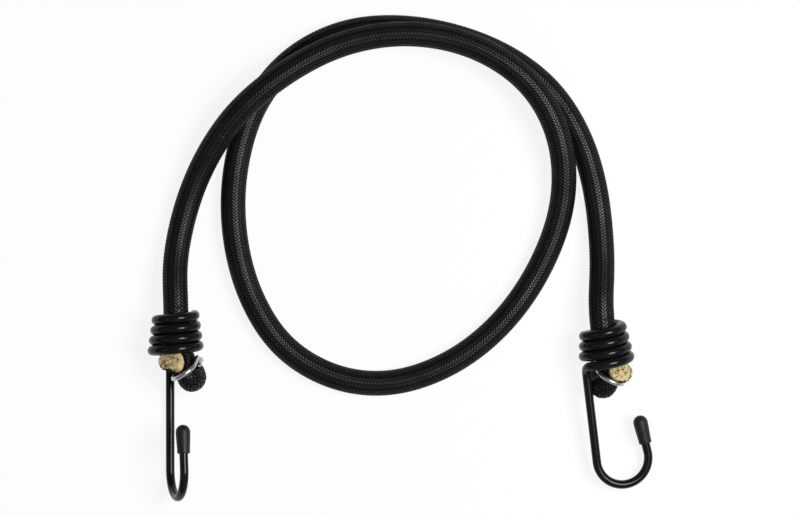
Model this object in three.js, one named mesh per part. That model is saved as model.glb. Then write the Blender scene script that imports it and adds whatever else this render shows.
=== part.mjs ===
import * as THREE from 'three';

// A bungee cord with a wire hook on each end, lying in one loop on a table.
// Millimetres, +Z up. The origin is on the table, midway between the two hooks.

// Driving dimensions of the cord: a braided sheath over a rubber core.
const CORD_DIAMETER = 10;
const SHEATH_WALL = 0.8;
const FIT_GAP = 0.3;

// Driving dimensions of the cord's ends, which run into the coils and fold back under them.
const NECK_LENGTH = 10.4;
const FOLD_SQUEEZE = 1;
const FOLD_LEAD_IN = 0.35;
const FOLD_LEAD_OUT = 0.4;
const CORE_STUB = 2.4;

// Driving dimensions of the hook wire.
const WIRE_DIAMETER = 3.4;
const TURN_GAP = 0.55;
const COIL_TURNS = 3.65;
const COIL_FLARE = 1.9;
const MOUTH_CLEARANCE = 0.6;
const BEND_LEAD = THREE.MathUtils.degToRad(35);
const BEND_DROP = 5;
const BEND_HANDLE = 3.1;
const SHANK_INSET = 0.6;
const HOOK_RADIUS = 10.3;
const TIP_LEAN = THREE.MathUtils.degToRad(7);

// Driving dimensions of the rubber cap on the hook's tip.
const CAP_LENGTH = 11.2;
const CAP_RIM_DIAMETER = 5;
const CAP_BULB_DIAMETER = 5.7;
const CAP_END_WALL = 1.6;
const CAP_FULLNESS = 0.45;

// Driving dimensions of the hog ring that clamps the folded end.
const RING_WIRE_DIAMETER = 1.8;
const RING_OVERLAP = 0.12;
const RING_SLANT = 2.6;
const RING_CLEARANCE = 0.4;

// How each end lies on the table. Swing turns it in plan, tilt drops its hook, and roll turns the hook
// about the cord, all in degrees. The left hook is the longer one, in its shank and its arm. The fold is placed in folded radii from the coil's lower face: the centre
// and the three angles of its bend, and where the cut end stops and faces. The ring sits where the bend
// begins, or a little further round it.
const LEFT_END = {
  side: 'left',
  place: { x: -87.5, y: 20.6, swing: 0, tilt: 1, roll: -71.5 },
  reach: { shank: 46.4, arm: 15.4 },
  bend: { centre: [0.98, -1, 0.61], lean: 37, rise: 11, turn: 23, ringSetback: 0.5 },
  cut: { end: [-0.6, -0.85, 1.89], facing: [-1.03, 0.07, 0.79] },
};
const RIGHT_END = {
  side: 'right',
  place: { x: 80.8, y: 16.4, swing: 7, tilt: 6, roll: 8 },
  reach: { shank: 38.4, arm: 12.8 },
  bend: { centre: [-0.05, -1.17, -0.07], lean: -35, rise: 24, turn: -28, ringSetback: 0 },
  cut: { end: [1.18, -0.97, 1.72], facing: [1.24, 0.04, 1.11] },
};
const TABLE_GAP = 0.15;

// The route of the free cord between the two coils, chosen by hand: x, y, and its lift off the table in cord
// diameters. It climbs over its own far end at the upper left, runs along on top of it and comes down at
// the right.
const CORD_ROUTE = [
  [-88.4, 50, 0.36], [-87, 64, 0.04], [-82.6, 81, 0.04], [-76, 96, 0.34], [-65, 112.2, 0.88],
  [-54.7, 122, 1.06], [-42, 131.2, 1.04], [-23.4, 140.5, 0.97], [0, 144.8, 1.02], [23.8, 141.6, 1.05],
  [42, 132.8, 1.02], [54, 121.4, 0.96], [61.8, 106, 0.79], [64.4, 90, 0.46], [62.6, 73, 0.16],
  [53.7, 51, 0], [40, 31.8, 0], [21.6, 16.9, 0], [-2, 8.2, 0], [-24.1, 9.8, 0],
  [-45.5, 22, 0], [-58.6, 42.2, 0], [-64.7, 64.7, 0], [-65.2, 87.6, 0], [-60, 110.6, 0],
  [-54.5, 121.6, 0], [-42, 135.6, 0], [-22, 145.7, 0], [0, 147.7, 0], [22, 144, 0],
  [42, 135.9, 0], [58.8, 123, 0], [70.3, 105, 0], [76.4, 85.5, 0], [78.8, 66, 0.04],
  [79.2, 51, 0.34],
];
const LEFT_LEG_LENGTH = 74;
const RIGHT_LEG_LENGTH = 84;
const LEAD_OUT = 7;

// Facets.
const CORD_SIDES = 12;
const CORD_STEP = 13;
const FOLD_STEP = 2.6;
const WIRE_SIDES = 8;
const WIRE_STEP = 2.6;
const RING_STEP = 2;
const CAP_SIDES = 14;
const CAP_DOME_STEPS = 4;
const ROUTE_DIVISIONS = 2000;
const MEASURE_STEP = 0.5;

// Sizes that follow from the driving dimensions.
const UP = new THREE.Vector3(0, 0, 1);
const cordRadius = CORD_DIAMETER / 2;
const foldRadius = (CORD_DIAMETER - FOLD_SQUEEZE) / 2;
const wireRadius = WIRE_DIAMETER / 2;
const ringWireRadius = RING_WIRE_DIAMETER / 2;
const flatToCorner = 1 / Math.cos(Math.PI / CORD_SIDES);
const coilPitch = WIRE_DIAMETER + TURN_GAP;
const coilTopRadius = cordRadius + MOUTH_CLEARANCE + wireRadius;
const coilBottomRadius = coilTopRadius + COIL_FLARE;
const coilHeight = coilPitch * COIL_TURNS;
const shankRadius = coilBottomRadius - SHANK_INSET;
const mouthHeight = coilHeight + wireRadius + FIT_GAP;
const foldStart = mouthHeight - NECK_LENGTH;
const foldBendRadius = foldRadius * flatToCorner + FIT_GAP / 2;

const material = {
  sheath: new THREE.MeshStandardMaterial({ color: 0x1c1d1e, roughness: 0.8, metalness: 0 }),
  core: new THREE.MeshStandardMaterial({ color: 0xc9a263, roughness: 0.75, metalness: 0 }),
  hook: new THREE.MeshStandardMaterial({ color: 0x0c0c0d, roughness: 0.25, metalness: 0.1 }),
  cap: new THREE.MeshStandardMaterial({ color: 0x2b2c2d, roughness: 0.7, metalness: 0 }),
  ring: new THREE.MeshStandardMaterial({ color: 0xc4c6c8, roughness: 0.3, metalness: 1 }),
};

// A stretch of a longer path, from one length along it to another.
class Stretch extends THREE.Curve {
  constructor(path, fromLength, toLength) {
    super();
    this.path = path;
    this.from = fromLength / path.getLength();
    this.to = toLength / path.getLength();
  }

  getPoint(t, target = new THREE.Vector3()) {
    return target.copy(this.path.getPointAt(THREE.MathUtils.lerp(this.from, this.to, t)));
  }
}

// A stretch of cord that lies on the table: its section stays upright, and the table holds it up.
class LyingStretch extends Stretch {
  getPoint(t, target = new THREE.Vector3()) {
    super.getPoint(t, target);
    return target.setZ(Math.max(target.z, cordRadius));
  }

  computeFrenetFrames(segments) {
    const tangents = [];
    const normals = [];
    const binormals = [];
    for (let i = 0; i <= segments; i++) {
      const tangent = this.getTangentAt(i / segments);
      const normal = new THREE.Vector3().crossVectors(tangent, UP).normalize();
      tangents.push(tangent);
      normals.push(normal);
      binormals.push(new THREE.Vector3().crossVectors(tangent, normal));
    }
    return { tangents, normals, binormals };
  }
}

// An arc about a centre, which starts along one unit vector and turns towards another.
class ArcPath extends THREE.Curve {
  constructor(centre, startward, turnward, radius, angle) {
    super();
    Object.assign(this, { centre, startward, turnward, radius, angle });
  }

  getPoint(t, target = new THREE.Vector3()) {
    const turned = this.angle * t;
    return target.copy(this.centre)
      .addScaledVector(this.startward, this.radius * Math.cos(turned))
      .addScaledVector(this.turnward, this.radius * Math.sin(turned));
  }
}

// The flaring coil, wound down the -Y axis from its mouth and ending at a given angle.
class CoilPath extends THREE.Curve {
  constructor(endAngle) {
    super();
    this.endAngle = endAngle;
  }

  getPoint(t, target = new THREE.Vector3()) {
    const angle = this.endAngle - 2 * Math.PI * COIL_TURNS * (1 - t);
    const radius = THREE.MathUtils.lerp(coilTopRadius, coilBottomRadius, t);
    return target.set(radius * Math.cos(angle), coilHeight * (1 - t), radius * Math.sin(angle));
  }
}

// The hook wire's path. Its cross-section is carried back from the tip, so that one facet lies square
// to the plane of the hook all round the bend.
class WirePath extends THREE.CurvePath {
  computeFrenetFrames(segments) {
    const tangents = [];
    for (let i = 0; i <= segments; i++) {
      tangents.push(this.getTangentAt(i / segments));
    }
    const normals = [];
    normals[segments] = new THREE.Vector3().crossVectors(UP, tangents[segments]).normalize();
    for (let i = segments - 1; i >= 0; i--) {
      const turn = new THREE.Quaternion().setFromUnitVectors(tangents[i + 1], tangents[i]);
      normals[i] = normals[i + 1].clone().applyQuaternion(turn);
    }
    const binormals = tangents.map((tangent, i) => new THREE.Vector3().crossVectors(tangent, normals[i]));
    return { tangents, normals, binormals };
  }
}

// The hog ring: a wire bent round two strands side by side, its ends lying beside each other.
class RingPath extends THREE.Curve {
  constructor(centre, across, along, lengthways, halfSpan, radius) {
    super();
    Object.assign(this, { centre, across, along, lengthways, halfSpan, radius });
  }

  getPoint(t, target = new THREE.Vector3()) {
    const straight = 2 * this.halfSpan;
    const bend = Math.PI * this.radius;
    const turns = t * (1 + RING_OVERLAP);
    let s = (turns % 1) * 2 * (straight + bend);
    const flip = s > straight + bend ? -1 : 1;
    if (flip < 0) {
      s -= straight + bend;
    }
    let a = this.radius;
    let b = s - this.halfSpan;
    if (s > straight) {
      const angle = (s - straight) / this.radius;
      a = this.radius * Math.cos(angle);
      b = this.halfSpan + this.radius * Math.sin(angle);
    }
    return target.copy(this.centre)
      .addScaledVector(this.across, flip * a)
      .addScaledVector(this.along, flip * b)
      .addScaledVector(this.lengthways, RING_SLANT * (t - 0.5));
  }
}

// A regular polygon with flats above and below, either outside the circle or inside it.
function polygon(sides, radius, outside) {
  const corner = outside ? radius / Math.cos(Math.PI / sides) : radius;
  const points = [];
  for (let i = 0; i < sides; i++) {
    const angle = (2 * Math.PI * (i + 0.5)) / sides;
    points.push(new THREE.Vector2(corner * Math.cos(angle), corner * Math.sin(angle)));
  }
  return points;
}

function sheathSection(radius) {
  const shape = new THREE.Shape(polygon(CORD_SIDES, radius, true));
  shape.holes.push(new THREE.Path(polygon(CORD_SIDES, radius - SHEATH_WALL, true)));
  return shape;
}

function coreSection(radius) {
  return new THREE.Shape(polygon(CORD_SIDES, radius - SHEATH_WALL - FIT_GAP, true));
}

function wireSection(radius) {
  return new THREE.Shape(polygon(WIRE_SIDES, radius, false));
}

function sweep(section, path, stepLength) {
  const steps = Math.max(2, Math.round(path.getLength() / stepLength));
  return new THREE.ExtrudeGeometry(section, { steps, extrudePath: path });
}

function piece(name, geometry, finish) {
  const mesh = new THREE.Mesh(geometry, finish);
  mesh.name = name;
  return mesh;
}

// The least gap between one part of a bent wire and another, past a given length along the wire.
function leastGap(path, diameter, apart) {
  const points = path.getSpacedPoints(Math.ceil(path.getLength() / MEASURE_STEP));
  const skip = Math.ceil(apart / MEASURE_STEP);
  let least = Infinity;
  for (let i = 0; i < points.length; i++) {
    for (let j = i + skip; j < points.length; j++) {
      least = Math.min(least, points[i].distanceTo(points[j]));
    }
  }
  return least - diameter;
}

// The hook wire: the coil, the bend out of it, the shank, the round of the hook and the arm to its tip.
function hookPath({ shank, arm }) {
  const coilEnd = Math.PI - BEND_LEAD;
  const coil = new CoilPath(coilEnd);
  const bendStart = coil.getPoint(1);
  const bendEnd = new THREE.Vector3(-shankRadius, -BEND_DROP, 0);
  const bend = new THREE.CubicBezierCurve3(
    bendStart,
    bendStart.clone().addScaledVector(coil.getTangent(1), BEND_HANDLE),
    bendEnd.clone().setY(-BEND_DROP + BEND_HANDLE),
    bendEnd,
  );
  const shankEnd = new THREE.Vector3(-shankRadius, -shank, 0);
  const centre = new THREE.Vector3(HOOK_RADIUS - shankRadius, -shank, 0);
  const left = new THREE.Vector3(-1, 0, 0);
  const down = new THREE.Vector3(0, -1, 0);
  const round = new ArcPath(centre, left, down, HOOK_RADIUS, Math.PI + TIP_LEAN);
  const armStart = round.getPoint(1);
  const armEnd = armStart.clone().addScaledVector(armDirection(), arm);
  const path = new WirePath();
  path.add(coil);
  path.add(bend);
  path.add(new THREE.LineCurve3(bendEnd, shankEnd));
  path.add(round);
  path.add(new THREE.LineCurve3(armStart, armEnd));
  return { path, coil, armStart };
}

function armDirection() {
  return new THREE.Vector3(-Math.sin(TIP_LEAN), Math.cos(TIP_LEAN), 0);
}

// The cap is a blind rubber sleeve, turned about the arm's own axis, with a fuller rounded end.
function capGeometry() {
  const bore = wireRadius + FIT_GAP;
  const rim = CAP_RIM_DIAMETER / 2;
  const bulb = CAP_BULB_DIAMETER / 2;
  const bulbHeight = CAP_LENGTH - bulb;
  const profile = [
    new THREE.Vector2(0, CAP_LENGTH - CAP_END_WALL),
    new THREE.Vector2(bore, CAP_LENGTH - CAP_END_WALL),
    new THREE.Vector2(bore, 0),
    new THREE.Vector2(rim, 0),
    new THREE.Vector2(THREE.MathUtils.lerp(rim, bulb, CAP_FULLNESS), bulbHeight / 2),
  ];
  for (let i = 0; i < CAP_DOME_STEPS; i++) {
    const angle = (Math.PI / 2) * (i / CAP_DOME_STEPS);
    profile.push(new THREE.Vector2(bulb * Math.cos(angle), bulbHeight + bulb * Math.sin(angle)));
  }
  profile.push(new THREE.Vector2(0, CAP_LENGTH));
  profile.push(profile[0].clone());
  return new THREE.LatheGeometry(profile, CAP_SIDES);
}

// The folded end of the cord: out of the coil, round a tight bend, and back to the cut end under the coil.
// The ring goes round both strands where the bend begins.
function foldPaths(bend, cut) {
  const toRadians = THREE.MathUtils.degToRad;
  const placed = (values) => new THREE.Vector3(...values).multiplyScalar(foldRadius).setY(
    values[1] * foldRadius - wireRadius,
  );
  const lean = toRadians(bend.lean);
  const sideways = new THREE.Vector3(Math.cos(lean), Math.sin(lean), 0);
  const outward = new THREE.Vector3(Math.sin(lean), -Math.cos(lean), 0);
  outward.applyAxisAngle(sideways, toRadians(bend.rise));
  const back = UP.clone().addScaledVector(outward, -outward.z).normalize();
  back.applyAxisAngle(outward, toRadians(bend.turn)).negate();

  const centre = placed(bend.centre);
  const arc = new ArcPath(centre, back, outward, foldBendRadius, Math.PI);
  const start = new THREE.Vector3(0, foldStart - FIT_GAP, 0);
  const going = arc.getPoint(0);
  const coming = arc.getPoint(1);
  const cutEnd = placed(cut.end);
  const facing = new THREE.Vector3(...cut.facing).normalize();
  const goingHandle = FOLD_LEAD_IN * start.distanceTo(going);
  const comingHandle = FOLD_LEAD_OUT * coming.distanceTo(cutEnd);
  const strand = new THREE.CurvePath();
  strand.add(new THREE.CubicBezierCurve3(
    start,
    start.clone().setY(start.y - goingHandle),
    going.clone().addScaledVector(outward, -goingHandle),
    going,
  ));
  strand.add(arc);
  strand.add(new THREE.CubicBezierCurve3(
    coming,
    coming.clone().addScaledVector(outward, -comingHandle),
    cutEnd.clone().addScaledVector(facing, -comingHandle),
    cutEnd,
  ));
  strand.add(new THREE.LineCurve3(cutEnd, cutEnd.clone().addScaledVector(facing, CORE_STUB)));

  const ringCentre = centre.clone().addScaledVector(outward, bend.ringSetback);
  const across = new THREE.Vector3().crossVectors(outward, back);
  const ringRadius = foldRadius * flatToCorner + RING_CLEARANCE + ringWireRadius;
  const ring = new RingPath(ringCentre, across, back.clone().negate(), outward, foldBendRadius, ringRadius);
  return { strand, ring };
}

// A sheath and the core inside it, along the same path. The core may run on past the sheath.
function cordPieces(name, radius, sheathPath, corePath, stepLength) {
  return [
    piece(`${name}_sheath`, sweep(sheathSection(radius), sheathPath, stepLength), material.sheath),
    piece(`${name}_core`, sweep(coreSection(radius), corePath, stepLength), material.core),
  ];
}

// The hook and the cap on its tip, turned about the cord.
function hookPieces(side, roll, reach) {
  const hook = new THREE.Group();
  hook.rotation.y = THREE.MathUtils.degToRad(roll);
  const { path, coil, armStart } = hookPath(reach);
  hook.add(piece(`${side}_hook`, sweep(wireSection(wireRadius), path, WIRE_STEP), material.hook));
  const cap = piece(`${side}_hook_cap`, capGeometry(), material.cap);
  const capStart = reach.arm + FIT_GAP + CAP_END_WALL - CAP_LENGTH;
  cap.position.copy(armStart).addScaledVector(armDirection(), capStart);
  cap.rotation.z = TIP_LEAN;
  hook.add(cap);
  console.log(`${side} coil gap ${leastGap(coil, WIRE_DIAMETER, Math.PI * coilTopRadius).toFixed(2)} mm`);
  return hook;
}

// One end of the cord: the neck inside the coil, the folded end, its ring, the hook and the cap.
function cordEnd({ side, place, reach, bend, cut }) {
  const group = new THREE.Group();
  const toRadians = THREE.MathUtils.degToRad;
  group.position.set(place.x, place.y, coilBottomRadius + wireRadius + TABLE_GAP);
  group.rotation.set(toRadians(place.tilt), 0, toRadians(place.swing), 'ZYX');

  const mouth = new THREE.Vector3(0, mouthHeight, 0);
  const neck = new THREE.LineCurve3(mouth, new THREE.Vector3(0, foldStart, 0));
  group.add(...cordPieces(`${side}_neck`, cordRadius, neck, neck, NECK_LENGTH));

  const { strand, ring } = foldPaths(bend, cut);
  const covered = new Stretch(strand, 0, strand.getLength() - CORE_STUB);
  group.add(...cordPieces(`${side}_fold`, foldRadius, covered, strand, FOLD_STEP));
  group.add(piece(`${side}_hog_ring`, sweep(wireSection(ringWireRadius), ring, RING_STEP), material.ring));
  group.add(hookPieces(side, place.roll, reach));
  group.updateMatrixWorld(true);
  console.log(`${side} ring gap ${leastGap(ring, RING_WIRE_DIAMETER, ring.getLength() / 2).toFixed(2)} mm`);
  return group;
}

// The two points where the free cord meets a coil's mouth, square to it.
function mouthPoints(end) {
  const mouth = new THREE.Vector3(0, mouthHeight + FIT_GAP, 0);
  const lead = new THREE.Vector3(0, mouthHeight + LEAD_OUT, 0);
  return [end.localToWorld(mouth), end.localToWorld(lead)];
}

const group = new THREE.Group();
const leftEnd = cordEnd(LEFT_END);
const rightEnd = cordEnd(RIGHT_END);
group.add(leftEnd, rightEnd);

const onTable = ([x, y, lift]) => new THREE.Vector3(x, y, cordRadius + lift * CORD_DIAMETER);
const routePoints = CORD_ROUTE.map(onTable);
routePoints.unshift(...mouthPoints(leftEnd));
routePoints.push(...mouthPoints(rightEnd).reverse());
const route = new THREE.CatmullRomCurve3(routePoints);
route.arcLengthDivisions = ROUTE_DIVISIONS;
const routeLength = route.getLength();
const splits = [0, LEFT_LEG_LENGTH, routeLength - RIGHT_LEG_LENGTH, routeLength];
['left_leg', 'loop', 'right_leg'].forEach((name, i) => {
  const start = i > 0 ? splits[i] + FIT_GAP : splits[i];
  const stretch = new LyingStretch(route, start, splits[i + 1]);
  group.add(...cordPieces(name, cordRadius, stretch, stretch, CORD_STEP));
});
console.log(`free cord ${routeLength.toFixed(1)} mm`);

export default group;
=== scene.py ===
import math
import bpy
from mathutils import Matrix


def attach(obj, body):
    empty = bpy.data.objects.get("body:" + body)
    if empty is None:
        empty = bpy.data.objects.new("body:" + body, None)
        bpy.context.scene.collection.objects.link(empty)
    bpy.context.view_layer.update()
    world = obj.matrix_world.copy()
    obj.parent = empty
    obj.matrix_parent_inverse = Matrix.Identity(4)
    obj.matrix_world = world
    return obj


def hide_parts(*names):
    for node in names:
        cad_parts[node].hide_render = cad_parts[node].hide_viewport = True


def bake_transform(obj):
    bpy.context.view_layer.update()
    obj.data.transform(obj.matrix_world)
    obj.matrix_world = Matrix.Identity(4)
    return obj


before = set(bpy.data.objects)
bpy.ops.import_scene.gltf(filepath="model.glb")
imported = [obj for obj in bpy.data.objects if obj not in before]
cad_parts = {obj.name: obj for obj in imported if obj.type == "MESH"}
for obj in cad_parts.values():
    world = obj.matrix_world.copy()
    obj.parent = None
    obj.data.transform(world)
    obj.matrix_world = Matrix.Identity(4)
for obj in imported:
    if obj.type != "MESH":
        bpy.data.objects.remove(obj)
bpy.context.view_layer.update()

from types import SimpleNamespace

import bmesh
import bpy
import numpy as np
from bpy.props import FloatProperty, FloatVectorProperty, IntProperty, PointerProperty
from mathutils import Matrix, Quaternion, Vector, noise
from mathutils.geometry import interpolate_bezier

bl_info = {
    "name": "Bungee Cord",
    "version": (1, 0, 0),
    "blender": (4, 5, 0),
    "location": "View3D > Sidebar > Bungee",
    "description": "A braided elastic cord with a coiled wire hook on each end, lying in a loop",
    "category": "Add Mesh",
}

SIDES = ("left", "right")

# The solid cord has twelve sides, and its corners stand this much further out than its flats.
SOLID_SIDES = 12
CORNER = 1 / math.cos(math.pi / SOLID_SIDES)
UP = Vector((0, 0, 1))

# Points nearer than this are one point, in metres.
WELD = 1e-7

# How each end lies on the table, in metres and degrees. A hook stands at x and y, swung about the upright,
# tilted up from the table and rolled about its coil. The middle of the fold's bend and the middle of its cut
# are in folded radii from the coil's lower face. The bend leans sideways, rises and turns about the way it
# faces. At the cut the cord runs the way that facing says, and the slanting slice faces its own way.
ENDS = {
    "left": SimpleNamespace(
        x=-0.0875, y=0.0206, swing=0, tilt=1, roll=-71.5,
        bend=(0.92, -0.94, 0.61), lean=31, rise=11, turn=15, ring_setback=0.0005,
        cut=(-0.62, -0.15, 1.74), facing=(-1.03, 0.07, 0.79), slice=(-0.45, 0.36, 0.82),
    ),
    "right": SimpleNamespace(
        x=0.0808, y=0.0164, swing=7, tilt=6, roll=8,
        bend=(-0.08, -0.6, -0.3), lean=-35, rise=10, turn=-20, ring_setback=0,
        cut=(1.16, -0.3, 1.6), facing=(1.24, 0.04, 1.11), slice=(0.35, 0.3, 0.89),
    ),
}

# The route of the free cord between the two coils: x and y in metres, and its lift in cord diameters.
CORD_ROUTE = (
    (-0.0884, 0.050, 0.36), (-0.087, 0.064, 0.04), (-0.0826, 0.081, 0.04), (-0.076, 0.096, 0.34),
    (-0.065, 0.1122, 0.88), (-0.0547, 0.122, 1.06), (-0.042, 0.1312, 1.04), (-0.0234, 0.1405, 0.97),
    (0, 0.1448, 1.02), (0.0238, 0.1416, 1.05), (0.042, 0.1328, 1.02), (0.054, 0.1214, 0.96),
    (0.0618, 0.106, 0.79), (0.0644, 0.090, 0.46), (0.0626, 0.073, 0.16), (0.0537, 0.051, 0),
    (0.040, 0.0318, 0), (0.0216, 0.0169, 0), (-0.002, 0.0082, 0), (-0.0241, 0.0098, 0),
    (-0.0455, 0.022, 0), (-0.0586, 0.0422, 0), (-0.0647, 0.0647, 0), (-0.0652, 0.0876, 0),
    (-0.060, 0.1106, 0), (-0.0545, 0.1216, 0), (-0.042, 0.1356, 0), (-0.022, 0.1457, 0),
    (0, 0.1477, 0), (0.022, 0.144, 0), (0.042, 0.1359, 0), (0.0588, 0.123, 0),
    (0.0703, 0.105, 0), (0.0764, 0.0855, 0), (0.0788, 0.066, 0.04), (0.0792, 0.051, 0.34),
)

# How finely the pieces are meshed: counts, and steps in metres.
ROUTE_STEPS = 24
EASE_STEP = 0.001
EASE_PASSES = 90
CURVE_STEPS = 40
RING_POINTS = 240
RING_STEP = 0.0004
ROWS_PER_PICK = 3
SEGMENTS_PER_COLUMN = 3
INNER_STEP = 0.008
CORE_STEP = 0.003
CORE_LOBES = 14
SIDES_PER_LOBE = 6
WIRE_STEP = 0.0006
WIRE_SIDES = 32
ROUND_SIDES = 48
EDGE_STEPS = 4
CUT_EDGE_STEPS = 5
CUT_ROWS = 12
SLICE_STEPS = 121
CAP_WALL_STEPS = 8
CAP_DOME_STEPS = 12
BEVEL_SEGMENTS = 3
FLOOR_SQUARES = 8

# How far the folded cord's line runs on past its cut, and how far from the cut's middle a slice may reach.
OVERRUN = 0.008
SLICE_REACH = 0.0075

# The fold's curve into its bend and on to its cut, as shares of the way between them.
LEAD_IN = 0.35
LEAD_OUT = 0.4

# The fold's swelling: its share at the sides of the bend, how much it gains towards the outside, the power
# that makes it fuller near the ring, and the share of the cut end's spread that is there at the ring.
BULGE_AT_SIDES = 0.5
BULGE_GAIN = 0.7
BULGE_FULLNESS = 0.7
SPREAD_AT_RING = 0.7

# How far the middle of a braid's column stands up between its yarns, as a share of the relief.
BETWEEN_YARNS = 0.3

# The depth of a core's grooves and the rounding of its ends, as shares of its radius.
GROOVE = 0.05
CORE_EDGE = 1 / 6

# The dents in a cut end: their spacing in dent depths, and the noise that makes them.
DENT_SPACING = 4
DENT_INCREMENT = 0.6
DENT_LACUNARITY = 2.0
DENT_OCTAVES = 3

# The width of a ring's tips, as a share of its wire.
POINT_WIDTH = 0.35

# The length over which the coil's thicker coating ends, in wire diameters.
COATING_FADE = 2

# The yarn's fibres that show across each of its floats.
FIBRES = 6

# The sockets of a Mix node that mixes colours.
MIX_FACTOR, MIX_FIRST, MIX_SECOND, MIX_RESULT = 0, 6, 7, 2

# Where the lights stand and how wide they are, and how far the floor reaches, in metres.
LIGHTS = {
    "key": ((0.58, 0.08, 1.1), 0.5),
    "fill_left": ((-0.9, -0.2, 0.9), 0.8),
    "fill_front": ((0.1, -0.9, 0.9), 0.8),
}
FLOOR_REACH = 3

# The stretches of the free cord, in order, with the body that each one rides. A leg rides none.
STRETCHES = {
    "left_neck": "left_neck",
    "left_leg": None,
    "loop": "cord",
    "right_leg": None,
    "right_neck": "right_neck",
}


def length(label, words, default):
    return FloatProperty(name=label, description=words, default=default, min=0, precision=5, unit="LENGTH")


def angle(label, words, degrees):
    return FloatProperty(name=label, description=words, default=math.radians(degrees), subtype="ANGLE")


def share(label, words, default):
    return FloatProperty(name=label, description=words, default=default, min=0, max=1, subtype="FACTOR")


def power(label, words, default):
    return FloatProperty(name=label, description=words, default=default, min=0, unit="POWER")


def colour(label, words, default):
    return FloatVectorProperty(name=label, description=words, default=default, min=0, max=1, subtype="COLOR")


class CordSettings(bpy.types.PropertyGroup):
    """Sizes and colours of the cord"""
    diameter: length("Diameter", "Outside of the braided sheath", 0.010)
    wall: length("Sheath wall", "Thickness of the braided sheath", 0.0008)
    fit_gap: length("Fit gap", "Gap between pieces that lie against each other", 0.0003)
    left_leg: length("Left leg", "Cord from the left hook to the loop", 0.074)
    right_leg: length("Right leg", "Cord from the loop to the right hook", 0.084)
    lead_out: length("Lead out", "Straight cord at a coil's mouth", 0.007)
    neck: length("Neck", "Cord inside a coil, above the fold", 0.0104)
    bulge: length("Bulge", "How far the fold swells past its ring", 0.001)
    pinch: length("Pinch", "How far the hog ring presses into the folded cord", 0.0008)
    pinch_reach: length("Pinch reach", "How far along the cord the ring's pinch is felt", 0.003)
    spread: length("Spread", "How much thicker the cut end is than the clamped cord", 0.0003)
    squeeze: length("Fold squeeze", "How much thinner the clamped fold is than the cord", 0.001)
    stub: length("Core stub", "How far the cut core stands out of the sheath", 0.0016)
    cut_edge: length("Cut edge", "Rounding of the core's cut end", 0.0006)
    dent: length("Dents", "Unevenness of the core's cut end", 0.0003)
    columns: IntProperty(
        name="Columns", description="Columns of the braid, an even number", default=18, min=4,
    )
    pick: length("Pick", "Spacing of the braid's yarns along the cord", 0.00125)
    slant: angle("Slant", "Slope of the yarns in a column", 38)
    relief: length("Relief", "Depth of the braid", 0.00024)
    # The yarn colour shows in the hollows, and the colour below it is a painted highlight on the standing
    # floats, so the contrast between them is painted light.
    yarn_colour: colour("Yarn", "Colour of the braid's hollows", (0.0036, 0.0035, 0.0042))
    painted_highlight_colour: colour("Fleck", "Colour of the braid's yarns", (0.007, 0.0066, 0.006))
    rubber_colour: colour("Rubber", "Colour of the cut rubber core", (0.82, 0.65, 0.34))
    # The rubber shade colour is painted shade in the core's cracks and between its strands, and also the
    # colour of its random dirt.
    shade_and_dirt_colour: colour("Rubber shade", "Colour of the core's cracks and hollows", (0.07, 0.042, 0.014))


class HookSettings(bpy.types.PropertyGroup):
    """Sizes and colour of the wire hooks"""
    wire: length("Wire", "Diameter of the coated wire", 0.0034)
    pile_up: length("Coating build-up", "How much thicker the coating lies on the coil", 0.00026)
    turn_gap: length("Turn gap", "Gap between the coil's turns", 0.00055)
    turns: FloatProperty(name="Turns", description="Turns in the coil", default=3.65, min=1)
    flare: length("Flare", "How much wider the coil is at its lower end", 0.0019)
    mouth: length("Mouth clearance", "Gap round the cord in the coil's mouth", 0.0006)
    bend_lead: angle("Bend lead", "How far short of the shank the coil ends", 35)
    bend_drop: length("Bend drop", "Drop from the coil to the shank", 0.005)
    bend_handle: length("Bend handle", "Roundness of the bend into the shank", 0.0031)
    shank_inset: length("Shank inset", "How far the shank lies inside the coil", 0.0006)
    left_shank: length("Left shank", "From the left coil's lower end to the round of its hook", 0.0464)
    right_shank: length("Right shank", "From the right coil's lower end to the round of its hook", 0.0384)
    radius: length("Hook radius", "Radius of the hook at the wire's centre", 0.0103)
    tip_lean: angle("Tip lean", "How far the arm leans back to the shank", 7)
    left_arm: length("Left arm", "Straight arm at the left hook's tip", 0.0154)
    right_arm: length("Right arm", "Straight arm at the right hook's tip", 0.0128)
    table_gap: length("Table gap", "Gap under the coil", 0.00015)
    cut_edge: length("Cut edge", "Rounding of the wire's cut end", 0.0006)
    coat_colour: colour("Coating", "Colour of the wire's coating", (0.0045, 0.0045, 0.005))


class RingSettings(bpy.types.PropertyGroup):
    """Sizes and colour of the hog rings"""
    wire: length("Wire", "Diameter of the ring's wire", 0.0018)
    overlap: share("Overlap", "Share of a turn where the ends lie side by side", 0.12)
    slant: length("Slant", "How far the ring climbs along the cord", 0.0026)
    clearance: length("Clearance", "Gap between the ring and the cord", 0.0002)
    point: length("Point", "Length of the sharpened ends", 0.0016)
    steel_colour: colour("Steel", "Colour of the bright wire", (0.62, 0.63, 0.64))


class CapSettings(bpy.types.PropertyGroup):
    """Sizes and colour of the tip caps"""
    length: length("Length", "Length of the cap", 0.0112)
    rim: length("Rim", "Diameter at the open end", 0.005)
    bulb: length("Bulb", "Diameter at the rounded end", 0.0057)
    end_wall: length("End wall", "Rubber beyond the wire's end", 0.0016)
    edge: length("Edge", "Rounding of the rim", 0.00022)
    rubber_colour: colour("Rubber", "Colour of the cap", (0.006, 0.0063, 0.0063))


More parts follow.
